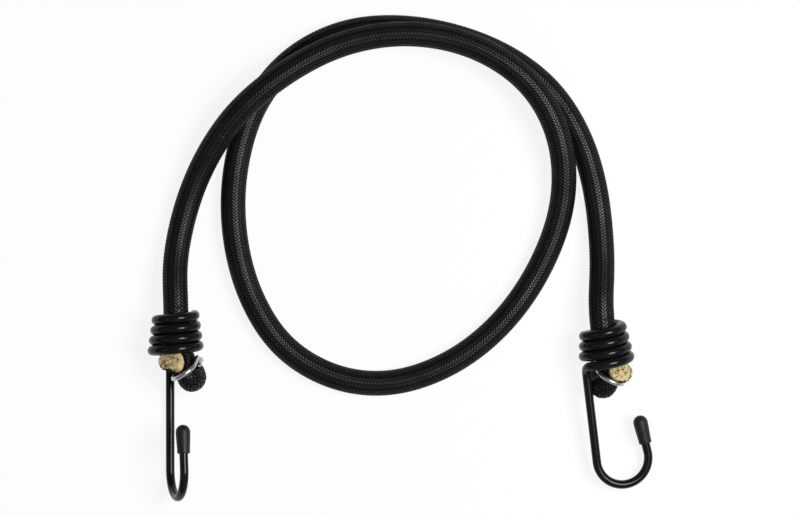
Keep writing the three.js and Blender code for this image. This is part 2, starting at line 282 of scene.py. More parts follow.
class StageSettings(bpy.types.PropertyGroup):
    """The camera, the lights and the floor"""
    view_width: length("View width", "Width of the picture at the cord's height", 0.3136)
    view_centre: length("View centre", "Place of the picture's centre along Y", 0.0572)
    distance: length("Camera height", "Height of the camera", 1.6)
    key_power: power("Key light", "Power of the key light", 16)
    fill_power: power("Fill light", "Power of each fill light", 0.8)
    room_colour: colour("Room", "Colour of the light from all round", (0.06, 0.06, 0.06))
    floor_colour: colour("Floor", "Colour of the floor", (0.93, 0.93, 0.93))
    shadow: share("Shadow", "How much of the shadow shows on the floor", 0.12)


def shares(steps):
    """Shares from 0 to 1 in equal steps."""
    return [k / steps for k in range(steps + 1)]


def derived(scene):
    """The sizes that follow from the settings."""
    cord, hook = scene.bungee_cord, scene.bungee_hook
    sizes = SimpleNamespace()
    sizes.cord_radius = cord.diameter / 2
    sizes.fold_radius = (cord.diameter - cord.squeeze) / 2
    sizes.wire_radius = hook.wire / 2
    sizes.coil_top = sizes.cord_radius + hook.mouth + sizes.wire_radius
    sizes.coil_bottom = sizes.coil_top + hook.flare
    sizes.coil_height = (hook.wire + hook.turn_gap) * hook.turns
    sizes.shank_radius = sizes.coil_bottom - hook.shank_inset
    sizes.mouth_height = sizes.coil_height + sizes.wire_radius + cord.fit_gap
    sizes.fold_start = sizes.mouth_height - cord.neck
    sizes.bend_radius = sizes.fold_radius * CORNER + cord.fit_gap / 2
    sizes.axis_height = sizes.coil_bottom + sizes.wire_radius + hook.table_gap
    return sizes


class Line:
    """A line through space with a frame carried along it, on which tubes are rolled."""

    def __init__(self, points, up=None):
        points = np.array(points, float)
        steps = np.linalg.norm(np.diff(points, axis=0), axis=1)
        keep = np.concatenate(([True], steps > WELD))
        self.points = points[keep]
        self.along = np.concatenate(([0], np.cumsum(steps[keep[1:]])))
        self.length = self.along[-1]
        tangents = np.gradient(self.points, self.along, axis=0)
        self.tangents = tangents / np.linalg.norm(tangents, axis=1, keepdims=True)
        sides = np.cross(self.tangents, up) if up is not None else self.carried()
        self.sides = sides / np.linalg.norm(sides, axis=1, keepdims=True)
        self.tops = np.cross(self.sides, self.tangents)

    def carried(self):
        """A side direction that doesn't twist as the line bends."""
        tangents = [Vector(t) for t in self.tangents]
        side = tangents[0].orthogonal().normalized()
        sides = [side]
        for before, after in zip(tangents, tangents[1:]):
            side = before.rotation_difference(after) @ side
            sides.append(side)
        return np.array(sides)

    def at(self, values, distance):
        """Points or directions of the line at a distance along it."""
        return np.stack([np.interp(distance, self.along, values[:, k]) for k in range(3)], axis=-1)

    def around(self, distance, radius, turn):
        """Points at a distance along the line and an angle and radius about it."""
        outward = np.cos(turn)[:, None] * self.at(self.sides, distance)
        outward += np.sin(turn)[:, None] * self.at(self.tops, distance)
        return self.at(self.points, distance) + radius[:, None] * outward

    def between(self, start, end, step):
        """Points along part of the line."""
        return self.at(self.points, np.linspace(start, end, max(2, round((end - start) / step) + 1)))


class FoldLine(Line):
    """A folded end's line, with the two places where its ring grips it and the way its bend faces."""

    def __init__(self, points, grips, outward, cord):
        super().__init__(points)
        self.first, self.last = (self.along[k] for k in grips)
        self.outward = np.array(outward)
        self.cord = cord

    def pinch(self, distance):
        """How far the ring presses into the cord at a distance along it."""
        to_ring = np.minimum(np.abs(distance - self.first), np.abs(distance - self.last))
        return self.cord.pinch * np.exp(-((to_ring / self.cord.pinch_reach) ** 2))

    def swell(self, distance, turn):
        """How far the sheath stands out round the bend and at its cut end, less the ring's pinch."""
        cord = self.cord
        outward = self.around(distance, np.ones_like(turn), turn) - self.at(self.points, distance)
        outside = np.clip(BULGE_AT_SIDES + BULGE_GAIN * outward @ self.outward, 0, 1)
        round_bend = np.clip((distance - self.first) / (self.last - self.first), 0, 1)
        past_ring = np.sin(math.pi * round_bend) ** BULGE_FULLNESS
        freed = np.clip(SPREAD_AT_RING + (distance - self.last) / cord.diameter, 0, 1)
        return cord.bulge * outside * past_ring + cord.spread * freed - self.pinch(distance)


def roll(line, along, radius, sides, weave=None):
    """Roll a flat grid into a tube on a line.

    Each row has its distance along the line and its radius. A weave is a function that says how far each
    point is shifted along the line and sunk towards it.
    """
    bm = bmesh.new()
    bm.loops.layers.uv.new("lattice")
    last = len(along) - 1
    bmesh.ops.create_grid(bm, x_segments=sides, y_segments=last, size=0.5, calc_uvs=True)
    flat = np.array([vert.co for vert in bm.verts])
    across = np.rint((flat[:, 0] + 0.5) * sides).astype(int)
    row = np.rint((flat[:, 1] + 0.5) * last).astype(int)
    distance, width = along[row], radius[row]
    if weave is not None:
        shift, sink = weave(across, row)
        distance, width = distance + shift, width - sink
    for vert, place in zip(bm.verts, line.around(distance, width, 2 * math.pi * across / sides)):
        vert.co = place
    bmesh.ops.remove_doubles(bm, verts=bm.verts, dist=WELD)
    bmesh.ops.recalc_face_normals(bm, faces=bm.faces)
    return bm


def rounded_rows(start, end, step, radius, edge):
    """Rows of a round bar with rounded cut ends, closed at both ends."""
    turns = np.linspace(0, math.pi / 2, EDGE_STEPS + 1)
    inward = edge * (1 - np.cos(turns))
    narrow = radius - edge * (1 - np.sin(turns))
    middle = np.linspace(start + edge, end - edge, max(3, round((end - start) / step)))[1:-1]
    along = np.concatenate(([start], start + inward, middle, end - inward[::-1], [end]))
    width = np.concatenate(([0], narrow, np.full(len(middle), radius), narrow[::-1], [0]))
    return along, width


def stitched(name, bm):
    """Turn a bmesh into a smooth object."""
    mesh = bpy.data.meshes.new(name)
    for face in bm.faces:
        face.smooth = True
    bm.to_mesh(mesh)
    bm.free()
    piece = bpy.data.objects.new(name, mesh)
    bpy.context.scene.collection.objects.link(piece)
    return piece


def dress(piece, material, node, body=None):
    """Give a piece its finish, and let it stand for its solid on that solid's body."""
    piece.data.materials.append(material)
    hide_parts(node)
    if body is not None:
        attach(piece, body)
    return piece


def end_matrix(side, sizes):
    """From a hook's own frame, with +Y along the cord, to the table's."""
    end = ENDS[side]
    place = Matrix.Translation((end.x, end.y, sizes.axis_height))
    swing = Matrix.Rotation(math.radians(end.swing), 4, "Z")
    tilt = Matrix.Rotation(math.radians(end.tilt), 4, "X")
    return place @ swing @ tilt


def hook_matrix(side, sizes):
    """From the frame of a hook that is not yet rolled about its coil to the table's."""
    return end_matrix(side, sizes) @ Matrix.Rotation(math.radians(ENDS[side].roll), 4, "Y")


def smooth_route(controls):
    """A centripetal curve through the route's points."""
    padded = [2 * controls[0] - controls[1], *controls, 2 * controls[-1] - controls[-2]]
    points = []
    for p0, p1, p2, p3 in zip(padded, padded[1:], padded[2:], padded[3:]):
        d0, d1, d2 = (math.sqrt((b - a).length) for a, b in ((p0, p1), (p1, p2), (p2, p3)))
        leave = ((p1 - p0) / d0 - (p2 - p0) / (d0 + d1) + (p2 - p1) / d1) * d1
        arrive = ((p2 - p1) / d1 - (p3 - p1) / (d1 + d2) + (p3 - p2) / d2) * d1
        points += interpolate_bezier(p1, p1 + leave / 3, p2 - arrive / 3, p2, ROUTE_STEPS + 1)[:-1]
    points.append(controls[-1])
    return points


def cord_line(scene, sizes):
    """The whole cord's line, from the left fold through both coils' mouths to the right fold.

    Between the coils it is eased, because a stiff cord lies in long curves.
    """
    cord = scene.bungee_cord
    heights = (sizes.fold_start, sizes.mouth_height + cord.fit_gap, sizes.mouth_height + cord.lead_out)
    left, right = ([end_matrix(side, sizes) @ Vector((0, h, 0)) for h in heights] for side in SIDES)
    on_table = [Vector((x, y, sizes.cord_radius + lift * cord.diameter)) for x, y, lift in CORD_ROUTE]
    points = smooth_route([left[1], left[2], *on_table, right[2], right[1]])
    for point in points:
        point.z = max(point.z, sizes.cord_radius)
    whole = Line([left[0], *points, right[0]])
    held = round((cord.neck + 2 * cord.fit_gap) / EASE_STEP)
    eased = whole.between(0, whole.length, EASE_STEP)
    for _ in range(EASE_PASSES):
        middle = (eased[held - 1:-held - 1] + 2 * eased[held:-held] + eased[held + 1:1 - held]) / 4
        eased[held:-held] = middle
    return Line(eased, up=UP)


def below_coil(place, sizes):
    """A place given in folded radii from the coil's lower face, in the hook's own frame."""
    return Vector(place) * sizes.fold_radius - Vector((0, sizes.wire_radius, 0))


def fold_frame(side, sizes):
    """The middle of a fold's bend, the way the bend faces and the way from there to the neck's strand."""
    end = ENDS[side]
    lean = math.radians(end.lean)
    sideways = Vector((math.cos(lean), math.sin(lean), 0))
    outward = Vector((math.sin(lean), -math.cos(lean), 0))
    outward.rotate(Quaternion(sideways, math.radians(end.rise)))
    rising = (UP - outward * outward.z).normalized()
    rising.rotate(Quaternion(outward, math.radians(end.turn)))
    return below_coil(end.bend, sizes), outward, -rising


def fold_line(scene, side, sizes):
    """The folded end's line: out of the coil, round the bend, back to the cut and on past it."""
    cord, end = scene.bungee_cord, ENDS[side]
    centre, outward, down = fold_frame(side, sizes)
    turns = [math.pi * t for t in shares(CURVE_STEPS)]
    arc = [centre + sizes.bend_radius * (down * math.cos(t) + outward * math.sin(t)) for t in turns]
    start = Vector((0, sizes.fold_start - cord.fit_gap, 0))
    cut = below_coil(end.cut, sizes)
    facing = Vector(end.facing).normalized()
    lead_in = LEAD_IN * (arc[0] - start).length
    lead_out = LEAD_OUT * (cut - arc[-1]).length
    below_start, before_arc = start - Vector((0, lead_in, 0)), arc[0] - outward * lead_in
    after_arc, before_cut = arc[-1] - outward * lead_out, cut - facing * lead_out
    going = interpolate_bezier(start, below_start, before_arc, arc[0], CURVE_STEPS)
    coming = interpolate_bezier(arc[-1], after_arc, before_cut, cut, CURVE_STEPS)
    strand = [*going, *arc, *coming, cut + facing * OVERRUN]
    # The curves share their end points, and a Line keeps one of each, so the bend starts with going's last.
    grips = (CURVE_STEPS - 1, 2 * CURVE_STEPS - 1)
    to_table = end_matrix(side, sizes)
    return FoldLine([to_table @ point for point in strand], grips, to_table.to_3x3() @ outward, cord)


def ring_line(scene, side, sizes):
    """The ring's line round both strands of the fold, climbing so that its ends lie side by side."""
    cord, ring = scene.bungee_cord, scene.bungee_ring
    centre, outward, down = fold_frame(side, sizes)
    across = outward.cross(down)
    middle = centre + outward * ENDS[side].ring_setback
    radius = sizes.fold_radius * CORNER - cord.pinch + ring.clearance + ring.wire / 2
    to_table = end_matrix(side, sizes)
    loop = []
    for t in shares(RING_POINTS):
        a, b = ring_point(t * (1 + ring.overlap), sizes.bend_radius, radius)
        climb = ring.slant * (t - 0.5)
        loop.append(to_table @ (middle + across * a - down * b + outward * climb))
    return Line(loop)


def ring_point(turns, half_span, radius):
    """A point on the ring's outline: two straights joined by two half circles."""
    straight = 2 * half_span
    half = straight + math.pi * radius
    walked = (turns % 1) * 2 * half
    flip = 1
    if walked > half:
        walked -= half
        flip = -1
    if walked <= straight:
        return flip * radius, flip * (walked - half_span)
    bent = (walked - straight) / radius
    return flip * radius * math.cos(bent), flip * (half_span + radius * math.sin(bent))


def hook_line(scene, side, sizes):
    """The hook wire's line, the length of its coil and the end of its arm.

    The line is the coil, the bend out of it, the shank, the round of the hook and the arm.
    """
    hook = scene.bungee_hook
    end_angle = math.pi - hook.bend_lead
    sweep = 2 * math.pi * hook.turns
    coil = []
    for t in shares(round(hook.turns * 2 * CURVE_STEPS)):
        turned = end_angle - sweep * (1 - t)
        wide = sizes.coil_top + hook.flare * t
        coil.append(Vector((wide * math.cos(turned), sizes.coil_height * (1 - t), wide * math.sin(turned))))
    leaving = Vector((
        hook.flare * math.cos(end_angle) - sizes.coil_bottom * sweep * math.sin(end_angle),
        -sizes.coil_height,
        hook.flare * math.sin(end_angle) + sizes.coil_bottom * sweep * math.cos(end_angle),
    )).normalized()
    shank_top = Vector((-sizes.shank_radius, -hook.bend_drop, 0))
    bend = interpolate_bezier(
        coil[-1], coil[-1] + leaving * hook.bend_handle,
        shank_top + Vector((0, hook.bend_handle, 0)), shank_top, CURVE_STEPS,
    )
    shank, arm = getattr(hook, f"{side}_shank"), getattr(hook, f"{side}_arm")
    centre = Vector((hook.radius - sizes.shank_radius, -shank, 0))
    turns = [(math.pi + hook.tip_lean) * t for t in shares(2 * CURVE_STEPS)]
    round_part = [centre + hook.radius * Vector((-math.cos(t), -math.sin(t), 0)) for t in turns]
    arm_end = round_part[-1] + arm_direction(hook) * arm
    to_table = hook_matrix(side, sizes)
    straight = [shank_top.lerp(round_part[0], t) for t in shares(CURVE_STEPS)[1:-1]]
    line = Line([to_table @ p for p in [*coil, *bend[1:], *straight, *round_part, arm_end]])
    return line, line.along[len(coil) - 1], arm_end


def arm_direction(hook):
    """The way that a hook's arm points, in the hook's own frame."""
    return Vector((-math.sin(hook.tip_lean), math.cos(hook.tip_lean), 0))


def braid(line, rows, step, radius, cord, stop=None, swell=None):
    """A braided sheath: yarns in columns that slant in turn to the left and right, and a plain inner wall.

    A cut sheath has a function that says where it stops at each angle and radius about the line, and a
    swollen one a function that says how far it stands out at each place.
    """
    first, last = rows
    outer = step * np.arange(first, last + 1)
    inner = np.linspace(outer[-1], outer[0], max(2, round((outer[-1] - outer[0]) / INNER_STEP)))
    along = np.concatenate((outer, inner, outer[:1]))
    radii = np.concatenate((np.full(len(outer), radius), np.full(len(inner), radius - cord.wall), [radius]))
    woven = np.concatenate((np.ones(len(outer)), np.zeros(len(inner)), [1]))
    picks = np.concatenate((np.arange(first, last + 1), np.full(len(inner), last), [first])) / ROWS_PER_PICK
    sides = cord.columns * SEGMENTS_PER_COLUMN
    column_width = 2 * math.pi * radius / cord.columns

    def weave(across, row):
        column, place = np.divmod(across / SEGMENTS_PER_COLUMN, 1)
        odd = column % 2
        shift = (1 - 2 * odd) * (place - 0.5) * column_width * math.tan(cord.slant) * woven[row]
        yarn = 0.5 - 0.5 * np.cos(2 * math.pi * (picks[row] + 0.5 * odd))
        standing = np.sin(math.pi * place) * (BETWEEN_YARNS + (1 - BETWEEN_YARNS) * yarn)
        sink = cord.relief * (1 - standing) * woven[row]
        turn = 2 * math.pi * across / sides
        if swell is not None:
            sink = sink - swell(along[row] + shift, turn)
        if stop is not None:
            end = stop(turn, radii[row] - sink)
            shift = np.clip(along[row] + shift, outer[0], end) - along[row]
        return shift, sink

    bm = roll(line, along, radii, sides, weave)
    lattice = bm.loops.layers.uv.active
    rows_high = len(along) - 1
    for face in bm.faces:
        for loop in face.loops:
            uv = loop[lattice].uv
            uv.x *= cord.columns
            uv.y = uv.y * rows_high / ROWS_PER_PICK + first / ROWS_PER_PICK
    return bm


def core(line, start, end, radius):
    """A bundle of rubber strands, seen from outside as a lobed bar."""
    along, radii = rounded_rows(start, end, CORE_STEP, radius, radius * CORE_EDGE)

    def weave(across, row):
        groove = 1 - np.abs(np.cos(math.pi * across / SIDES_PER_LOBE))
        return 0 * radii[row], radii[row] * GROOVE * groove

    return roll(line, along, radii, CORE_LOBES * SIDES_PER_LOBE, weave)


class Slice:
    """A flat slanting cut across a tube, through a place on its line."""

    def __init__(self, line, middle, normal):
        self.line, self.middle, self.normal = line, middle, np.array(normal.normalized())
        self.point = line.at(line.points, middle)

    def stop(self, turn, radius):
        """Where a wall of this radius meets the cut, at each angle about the line."""
        walked = np.linspace(self.middle - SLICE_REACH, self.middle + SLICE_REACH, SLICE_STEPS)
        walls = [self.line.around(np.full_like(turn, place), radius, turn) for place in walked]
        height = np.array([(wall - self.point) @ self.normal for wall in walls])
        after = np.clip(np.argmax(height > 0, axis=0), 1, None)
        each = np.arange(len(turn))
        below, above = height[after - 1, each], height[after, each]
        return walked[after] - (walked[1] - walked[0]) * above / (above - below)


class Maths:
    """A number in a material, so that sums on it read as sums."""

    def __init__(self, shader, socket):
        self.shader, self.socket = shader, socket

    def do(self, operation, *others):
        inputs = dict(enumerate((self, *others)))
        return self.shader.number("ShaderNodeMath", {"operation": operation}, inputs)

    def __add__(self, other):
        return self.do("ADD", other)

    def __sub__(self, other):
        return self.do("SUBTRACT", other)

    def __mul__(self, other):
        return self.do("MULTIPLY", other)

    def __pow__(self, other):
        return self.do("POWER", other)

    def __rsub__(self, other):
        return self.shader.number("ShaderNodeMath", {"operation": "SUBTRACT"}, {0: other, 1: self})

    def __gt__(self, other):
        return self.do("GREATER_THAN", other)

    def __lt__(self, other):
        return self.do("LESS_THAN", other)

    __radd__ = __add__
    __rmul__ = __mul__

    def spread(self, low, high):
        """A number from 0 to 1 spread over another range."""
        return self * (high - low) + low

    def rises(self, low, high):
        """0 below the low value and 1 above the high one, with a smooth rise between them."""
        inputs = {"Value": self, "From Min": low, "From Max": high}
        return self.shader.number("ShaderNodeMapRange", {"interpolation_type": "SMOOTHSTEP"}, inputs)

    def fract(self):
        return self.do("FRACT")

    def sin(self):
        return self.do("SINE")

    def cos(self):
        return self.do("COSINE")


class Shader:
    """A material made of nodes."""

    def __init__(self, name):
        self.material = bpy.data.materials.new(name)
        self.material.use_nodes = True
        self.tree = self.material.node_tree
        self.tree.nodes.clear()

    def node(self, kind, settings=None, inputs=None):
        made = self.tree.nodes.new(kind)
        for name, value in (settings or {}).items():
            setattr(made, name, value)
        for name, value in (inputs or {}).items():
            socket = made.inputs[name]
            if isinstance(value, Maths):
                value = value.socket
            if isinstance(value, bpy.types.NodeSocket):
                self.tree.links.new(value, socket)
            else:
                socket.default_value = value
        return made

    def number(self, kind, settings=None, inputs=None, output=0):
        return Maths(self, self.node(kind, settings, inputs).outputs[output])

    def place(self):
        return self.node("ShaderNodeTexCoord").outputs["Object"]

    def noise(self, scale, detail=2, roughness=0.5):
        inputs = {"Vector": self.place(), "Scale": scale, "Detail": detail, "Roughness": roughness}
        return self.number("ShaderNodeTexNoise", None, inputs, "Fac")

    def cells(self, scale, feature="F1"):
        inputs = {"Vector": self.place(), "Scale": scale}
        return self.number("ShaderNodeTexVoronoi", {"feature": feature}, inputs, "Distance")

    def mix(self, factor, first, second):
        inputs = {MIX_FACTOR: factor, MIX_FIRST: (*first, 1), MIX_SECOND: (*second, 1)}
        return self.node("ShaderNodeMix", {"data_type": "RGBA"}, inputs).outputs[MIX_RESULT]

    def bump(self, height, strength, distance):
        inputs = {"Height": height, "Strength": strength, "Distance": distance}
        return self.node("ShaderNodeBump", None, inputs).outputs["Normal"]

    def surface(self, **inputs):
        named = {name.replace("_", " "): value for name, value in inputs.items()}
        made = self.node("ShaderNodeBsdfPrincipled", None, named)
        self.output(made.outputs[0])
        return self.material

    def output(self, socket):
        self.node("ShaderNodeOutputMaterial", None, {"Surface": socket})


def shaded(tint, factor):
    """A colour made lighter or darker."""
    return [factor * part for part in tint]


def braid_finish(cord):
    """Dull black yarn: each float catches the light in its coat and is also painted lighter as a painted
    highlight, and the hollows between the columns stay dark as painted shade.
    """
    shader = Shader("bungee_yarn")
    uv = shader.node("ShaderNodeUVMap", {"uv_map": "lattice"}).outputs["UV"]
    parts = shader.node("ShaderNodeSeparateXYZ", None, {"Vector": uv})
    column, pick = (Maths(shader, parts.outputs[k]) for k in range(2))
    odd = (column * 0.5).fract() > 0.5
    yarn_place = pick + odd * 0.5
    yarn = 0.5 - (yarn_place * (2 * math.pi)).cos() * 0.5
    rib = (column.fract() * math.pi).sin()
    standing = yarn ** 1.4 * rib ** 0.5
    fibres = (yarn_place * (2 * math.pi * FIBRES)).sin() * 0.5 + 0.5
    patches = shader.noise(scale=160, detail=3)
    fluff = shader.noise(scale=2600)
    # Where the floats stand, broken up by random patches and fluff: this sets the coat's shine and also
    # paints the floats' colour lighter as a painted highlight.
    shine_and_painted_highlight = standing * patches.spread(0.35, 1.25) * fibres.spread(0.8, 1.1) * fluff.spread(0.5, 1.3)
    height = standing + fibres * standing * 0.3 + fluff * 0.25
    return shader.surface(
        Base_Color=shader.mix(shine_and_painted_highlight, cord.yarn_colour, cord.painted_highlight_colour),
        Roughness=standing.spread(0.9, 0.65),
        Normal=shader.bump(height, strength=0.3, distance=0.0001),
        Specular_IOR_Level=0.05,
        Coat_Weight=shine_and_painted_highlight,
        Coat_Roughness=0.43,
        Coat_IOR=1.7,
    )


def rubber_finish(cord):
    """Cut latex strands: tan, speckled and cracked, with brown painted shade in the cracks and between the
    strands.
    """
    shader = Shader("bungee_latex")
    seams = shader.cells(scale=950, feature="DISTANCE_TO_EDGE")
    clumps = shader.noise(scale=420, detail=3, roughness=0.6)
    specks = shader.noise(scale=2600, detail=3, roughness=0.65)
    folds = shader.noise(scale=240, detail=4, roughness=0.6)
    gap = seams < 0.14
    dirt = (specks * 0.45 + clumps * 0.55).rises(0.5, 0.62)
    cracks = 1 - (folds - 0.5).do("ABSOLUTE").rises(0.0, 0.03)
    # Painted shade in the gaps between the strands and in the cracks, added to random dirt and tone.
    shade = gap * (clumps * 0.35) + dirt * 0.7 + cracks * clumps * 1.3 + (1 - clumps) * 0.1
    return shader.surface(
        Base_Color=shader.mix(shade, cord.rubber_colour, cord.shade_and_dirt_colour),
        Roughness=specks.spread(0.6, 0.9),
        Normal=shader.bump(specks - gap * 0.4 - cracks * 0.8, strength=0.8, distance=0.0003),
        Specular_IOR_Level=0.3,
    )


def coating_finish(hook):
    """Gloss black dipped coating, a little uneven."""
    shader = Shader("bungee_coating")
    ripple = shader.noise(scale=220)
    dust = shader.noise(scale=2400, detail=3, roughness=0.6)
    return shader.surface(
        Base_Color=shader.mix(dust, hook.coat_colour, shaded(hook.coat_colour, 1.9)),
        Roughness=dust.spread(0.24, 0.32),
        Normal=shader.bump(ripple + dust * 0.002, strength=0.15, distance=0.0003),
        Coat_Weight=0.2,
        Coat_Roughness=0.08,
        Specular_IOR_Level=0.1,
    )


def cap_finish(cap):
    """Dull dark rubber with a fine grain."""
    shader = Shader("bungee_cap_rubber")
    grain = shader.noise(scale=3800, detail=3, roughness=0.65)
    smear = shader.noise(scale=260)
    wear = smear * 0.7 + grain * 0.3
    return shader.surface(
        Base_Color=shader.mix(wear, cap.rubber_colour, shaded(cap.rubber_colour, 2.2)),
        Roughness=smear.spread(0.4, 0.6),
        Normal=shader.bump(grain, strength=0.3, distance=0.0001),
        Specular_IOR_Level=0.3,
    )


def steel_finish(ring):
    """Bright galvanised wire with faint spangle and drawing marks."""
    shader = Shader("bungee_steel")
    spangle = shader.cells(scale=900)
    marks = shader.noise(scale=3000, detail=3, roughness=0.6)
    return shader.surface(
        Base_Color=shader.mix(marks * 0.6, ring.steel_colour, shaded(ring.steel_colour, 0.6)),
        Metallic=1.0,
        Roughness=spangle.spread(0.22, 0.37) + marks * 0.12,
        Normal=shader.bump(marks, strength=0.2, distance=0.0001),
    )


def floor_finish(stage):
    """A floor that shows as white but keeps a soft shadow."""
    shader = Shader("floor")
    paths = shader.node("ShaderNodeLightPath").outputs
    seen = Maths(shader, paths["Is Camera Ray"]) + Maths(shader, paths["Is Glossy Ray"])
    seen = (seen + Maths(shader, paths["Is Transmission Ray"])) > 0.5
    paint = shader.node("ShaderNodeBsdfDiffuse", None, {"Color": (*stage.floor_colour, 1)}).outputs[0]
    glow = shader.node("ShaderNodeEmission", None, {"Strength": 1.0}).outputs[0]
    shown = shader.node("ShaderNodeMixShader", None, {0: stage.shadow, 1: glow, 2: paint}).outputs[0]
    shader.output(shader.node("ShaderNodeMixShader", None, {0: seen, 1: paint, 2: shown}).outputs[0])
    return shader.material


def cord_rows(cord, line):
    """The braid's rows where the cord is split: at the necks' ends, the mouths and the ends of the loop."""
    picks = round(line.length / cord.pick)
    pick = line.length / picks
    mouth = cord.neck + cord.fit_gap
    before = (0, mouth, mouth + cord.left_leg)
    after = (mouth + cord.right_leg, mouth, 0)
    places = (*before, *(line.length - place for place in after))
    return [ROWS_PER_PICK * round(place / pick) for place in places], pick / ROWS_PER_PICK


class BUNGEE_OT_stage(bpy.types.Operator):
    """Add the camera, the lights and the floor"""
    bl_idname = "bungee.stage"
    bl_label = "Stage"

    def execute(self, context):
        scene = context.scene
        stage, height = scene.bungee_stage, scene.bungee_cord.diameter / 2
        camera = bpy.data.objects.new("camera", bpy.data.cameras.new("camera"))
        camera.location = (0, stage.view_centre, stage.distance)
        camera.data.lens = camera.data.sensor_width * (stage.distance - height) / stage.view_width
        scene.collection.objects.link(camera)
        scene.camera = camera
        for name, (place, size) in LIGHTS.items():
            self.light(scene, name, Vector(place), size)
        world = bpy.data.worlds.new("studio")
        world.use_nodes = True
        world.node_tree.nodes["Background"].inputs["Color"].default_value = (*stage.room_colour, 1)
        scene.world = world
        scene.view_settings.view_transform = "Standard"
        bm = bmesh.new()
        bmesh.ops.create_grid(bm, x_segments=FLOOR_SQUARES, y_segments=FLOOR_SQUARES, size=FLOOR_REACH)
        floor = stitched("floor", bm)
        floor.data.materials.append(floor_finish(stage))
        return {"FINISHED"}

    def light(self, scene, name, place, size):
        """A square light that faces the picture's centre."""
        stage = scene.bungee_stage
        lamp = bpy.data.objects.new(name, bpy.data.lights.new(name, "AREA"))
        lamp.data.size = size
        lamp.data.energy = stage.key_power if name == "key" else stage.fill_power
        lamp.location = place
        aim = Vector((0, stage.view_centre, 0)) - place
        lamp.rotation_euler = aim.to_track_quat("-Z", "Y").to_euler()
        scene.collection.objects.link(lamp)


class BUNGEE_OT_cord(bpy.types.Operator):
    """Add the free cord: its two legs, its loop and its necks, each a braid over a core"""
    bl_idname = "bungee.cord"
    bl_label = "Cord"

    def execute(self, context):
        scene = context.scene
        cord, sizes = scene.bungee_cord, derived(scene)
        line = cord_line(scene, sizes)
        rows, step = cord_rows(cord, line)
        yarn, rubber = braid_finish(cord), rubber_finish(cord)
        core_radius = sizes.cord_radius - cord.wall - cord.fit_gap
        for (name, body), first, last in zip(STRETCHES.items(), rows, rows[1:]):
            start, end = first * step, last * step
            sheath = stitched(f"braid_{name}", braid(line, (first, last), step, sizes.cord_radius, cord))
            bundle = stitched(f"strands_{name}", core(line, start, end, core_radius))
            dress(sheath, yarn, f"{name}_sheath", body)
            dress(bundle, rubber, f"{name}_core", body)
            if name.endswith("neck"):
                continue
            path = line.between(start, end, cord.diameter / 2)
            if name.endswith("leg"):
                self.stretch((sheath, bundle), name, path)
            end - start
        return {"FINISHED"}

    def stretch(self, pieces, name, path):
        """Bake a leg's pieces into their places."""
        for piece in pieces:
            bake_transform(piece)


class BUNGEE_OT_folds(bpy.types.Operator):
    """Add the folded ends of the cord with their cut cores"""
    bl_idname = "bungee.folds"
    bl_label = "Folded ends"

    def execute(self, context):
        scene = context.scene
        cord, sizes = scene.bungee_cord, derived(scene)
        yarn, rubber = (bpy.data.materials[name] for name in ("bungee_yarn", "bungee_latex"))
        core_radius = sizes.fold_radius - cord.wall - cord.fit_gap
        for side in SIDES:
            line = fold_line(scene, side, sizes)
            normal = end_matrix(side, sizes).to_3x3() @ Vector(ENDS[side].slice)
            face = line.length - OVERRUN
            sheath_cut, core_cut = Slice(line, face - cord.stub, normal), Slice(line, face, normal)
            rows = (0, ROWS_PER_PICK * math.ceil(line.length / cord.pick))
            step = cord.pick / ROWS_PER_PICK
            weave = braid(line, rows, step, sizes.fold_radius, cord, sheath_cut.stop, line.swell)
            sheath = stitched(f"braid_{side}_fold", weave)
            bundle = stitched(f"strands_{side}_fold", self.cut_core(line, core_cut, core_radius, cord))
            dress(sheath, yarn, f"{side}_fold_sheath", f"{side}_end")
            dress(bundle, rubber, f"{side}_fold_core", f"{side}_end")
        return {"FINISHED"}

    def cut_core(self, line, cut, radius, cord):
        """The core inside the sheath, swelling where it was cut, with a rough slanting end."""
        base = cut.middle - SLICE_REACH
        turns = np.linspace(0, math.pi / 2, CUT_EDGE_STEPS + 1)[1:]
        edge = cord.cut_edge
        swollen = radius + cord.fit_gap + cord.spread
        shaft, face = np.full(CUT_ROWS, swollen), np.linspace(swollen - edge, 0, CUT_ROWS + 1)[1:]
        radii = np.concatenate(([0], shaft, swollen - edge * (1 - np.cos(turns)), face))
        level = np.concatenate(([0], np.linspace(0, 1, len(shaft)), np.ones(len(turns) + len(face))))
        inset = np.concatenate((np.full(len(shaft) + 1, edge), edge * (1 - np.sin(turns)), 0 * face))

        def slant(across, row):
            end = cut.stop(2 * math.pi * across / ROUND_SIDES, radii[row]) - inset[row]
            place = base + (end - base) * level[row]
            return place, line.pinch(place) * radii[row] / swollen

        bm = roll(line, 0 * radii, radii, ROUND_SIDES, slant)
        facing = Vector(cut.normal)
        for vert in bm.verts:
            place = vert.co / (DENT_SPACING * cord.dent)
            depth = noise.fractal(place, DENT_INCREMENT, DENT_LACUNARITY, DENT_OCTAVES)
            vert.co += facing * (cord.dent * depth)
        inner = bpy.data.meshes.new("inner")
        bar = core(line, 0, base, radius)
        bar.to_mesh(inner)
        bar.free()
        bm.from_mesh(inner)
        bpy.data.meshes.remove(inner)
        return bm


class BUNGEE_OT_rings(bpy.types.Operator):
    """Add the wire rings that clamp the folded ends"""
    bl_idname = "bungee.rings"
    bl_label = "Hog rings"

    def execute(self, context):
        scene = context.scene
        ring, sizes = scene.bungee_ring, derived(scene)
        steel = steel_finish(ring)
        for side in SIDES:
            line = ring_line(scene, side, sizes)
            along = np.linspace(0, line.length, round(line.length / RING_STEP))
            to_end = np.minimum(along, line.length - along)
            radii = ring.wire / 2 * np.clip(POINT_WIDTH + (1 - POINT_WIDTH) * to_end / ring.point, 0, 1)
            along = np.concatenate(([0], along, [line.length]))
            radii = np.concatenate(([0], radii, [0]))
            piece = stitched(f"ring_{side}", roll(line, along, radii, WIRE_SIDES))
            dress(piece, steel, f"{side}_hog_ring", f"{side}_end")
        return {"FINISHED"}


